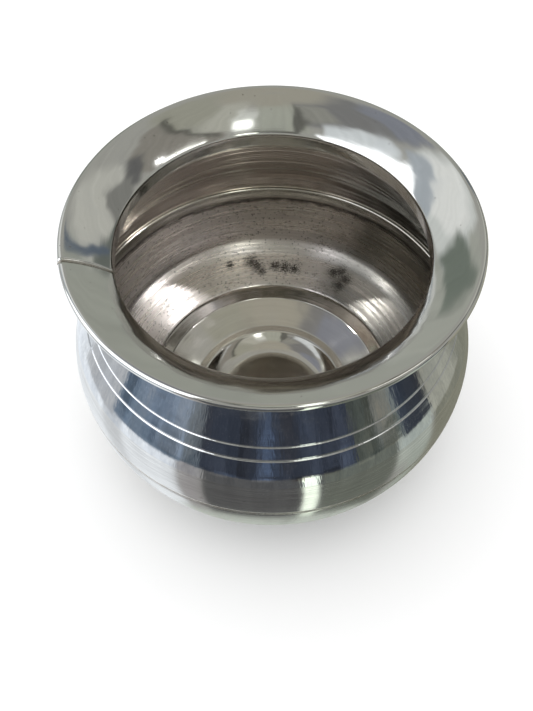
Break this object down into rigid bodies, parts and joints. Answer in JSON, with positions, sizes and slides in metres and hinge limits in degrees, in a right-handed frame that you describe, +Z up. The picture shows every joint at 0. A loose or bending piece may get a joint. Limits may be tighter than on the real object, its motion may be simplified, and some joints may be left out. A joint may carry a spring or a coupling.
{
  "type": "cooking pot",
  "caption": "Round-bellied polished steel cooking pot with a narrow neck, a wide flared collar with a rolled edge, and an open mouth.",
  "frame": {"origin": "middle of the flat base, on the surface that the pot stands on", "axes": "+Z up along the pot's axis, -Y towards the viewer of the picture, +X to the viewer's right"},
  "size_m": [0.2362, 0.2362, 0.1715],
  "materials": {
    "rim_collar": "mirror polished stainless steel",
    "collar_seam_weld": "dressed weld, slightly dull",
    "neck_weld": "weld as laid, slightly dull",
    "shoulder_shell": "mirror turned shoulder over a satin brushed belly",
    "belly_weld": "weld ground flush",
    "lower_bowl": "fine turned outside, matte pitted wall and polished base inside"
  },
  "bodies": {
    "root": {"rim_collar": "rim_collar", "collar_seam_weld": "collar_seam_weld", "neck_weld": "neck_weld", "shoulder_shell": "shoulder_shell", "belly_weld": "belly_weld", "lower_bowl": "lower_bowl"}
  },
  "joints": []
}
